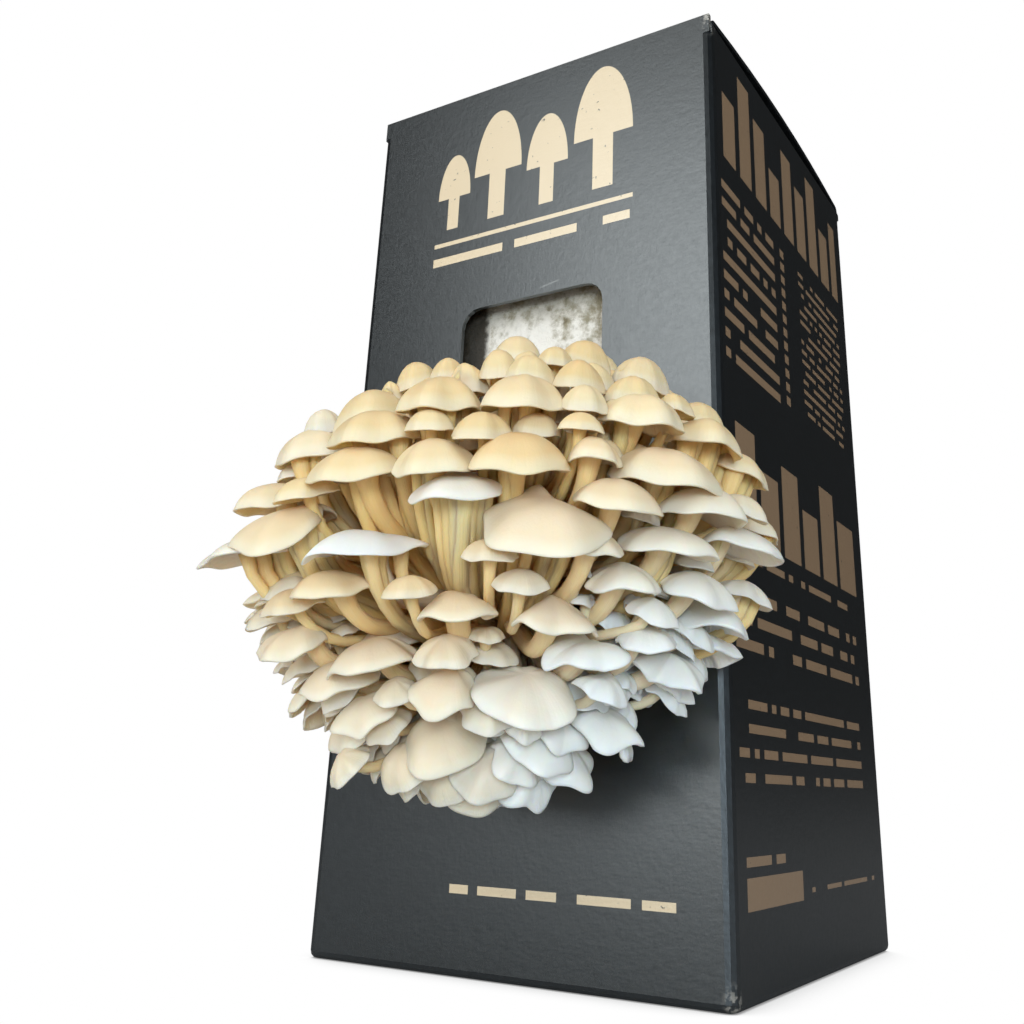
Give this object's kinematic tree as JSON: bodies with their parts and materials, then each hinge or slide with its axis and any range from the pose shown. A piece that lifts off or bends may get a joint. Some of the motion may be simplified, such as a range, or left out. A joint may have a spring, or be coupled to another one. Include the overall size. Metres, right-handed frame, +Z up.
{
  "type": "mushroom grow kit",
  "caption": "Upright tuck-top card carton with a front window, a spawn block inside it and a dome-shaped clump of small pale long-stemmed mushrooms growing out of the window.",
  "frame": {"origin": "middle of the carton's underside, on the flat face it stands on", "axes": "+Z up along the carton's height, -Y out of the front panel with the window and the clump, +X to the right as seen from behind the carton, so to the viewer's right in the front view"},
  "size_m": [0.1215, 0.1799, 0.223],
  "materials": {
    "carton_card": "fine-grained dark slate card with a dull sheen",
    "spawn": "matt white mycelium with soft grey blotches",
    "mushroom_flesh": "smooth moist cream flesh, paler towards the cap margins"
  },
  "bodies": {
    "root": {"carton": "carton_card", "spawn_block": "spawn", "cluster_base": "mushroom_flesh", "mushroom_01": "mushroom_flesh", "mushroom_02": "mushroom_flesh", "mushroom_03": "mushroom_flesh", "mushroom_04": "mushroom_flesh", "mushroom_05": "mushroom_flesh", "mushroom_06": "mushroom_flesh", "mushroom_07": "mushroom_flesh", "mushroom_08": "mushroom_flesh", "mushroom_09": "mushroom_flesh", "mushroom_10": "mushroom_flesh", "mushroom_11": "mushroom_flesh", "mushroom_12": "mushroom_flesh", "mushroom_13": "mushroom_flesh", "mushroom_14": "mushroom_flesh", "mushroom_15": "mushroom_flesh", "mushroom_16": "mushroom_flesh", "mushroom_17": "mushroom_flesh", "mushroom_18": "mushroom_flesh", "mushroom_19": "mushroom_flesh", "mushroom_20": "mushroom_flesh", "mushroom_21": "mushroom_flesh", "mushroom_22": "mushroom_flesh", "mushroom_23": "mushroom_flesh", "mushroom_24": "mushroom_flesh", "mushroom_25": "mushroom_flesh", "mushroom_26": "mushroom_flesh", "mushroom_27": "mushroom_flesh", "mushroom_28": "mushroom_flesh", "mushroom_29": "mushroom_flesh", "mushroom_30": "mushroom_flesh", "mushroom_31": "mushroom_flesh", "mushroom_32": "mushroom_flesh", "mushroom_33": "mushroom_flesh", "mushroom_34": "mushroom_flesh", "mushroom_35": "mushroom_flesh", "mushroom_36": "mushroom_flesh", "mushroom_37": "mushroom_flesh", "mushroom_38": "mushroom_flesh", "mushroom_39": "mushroom_flesh", "mushroom_40": "mushroom_flesh", "mushroom_41": "mushroom_flesh", "mushroom_42": "mushroom_flesh", "mushroom_43": "mushroom_flesh", "mushroom_44": "mushroom_flesh", "mushroom_45": "mushroom_flesh", "mushroom_46": "mushroom_flesh", "mushroom_47": "mushroom_flesh", "mushroom_48": "mushroom_flesh", "mushroom_49": "mushroom_flesh", "mushroom_50": "mushroom_flesh", "mushroom_51": "mushroom_flesh", "mushroom_52": "mushroom_flesh"}
  },
  "joints": []
}
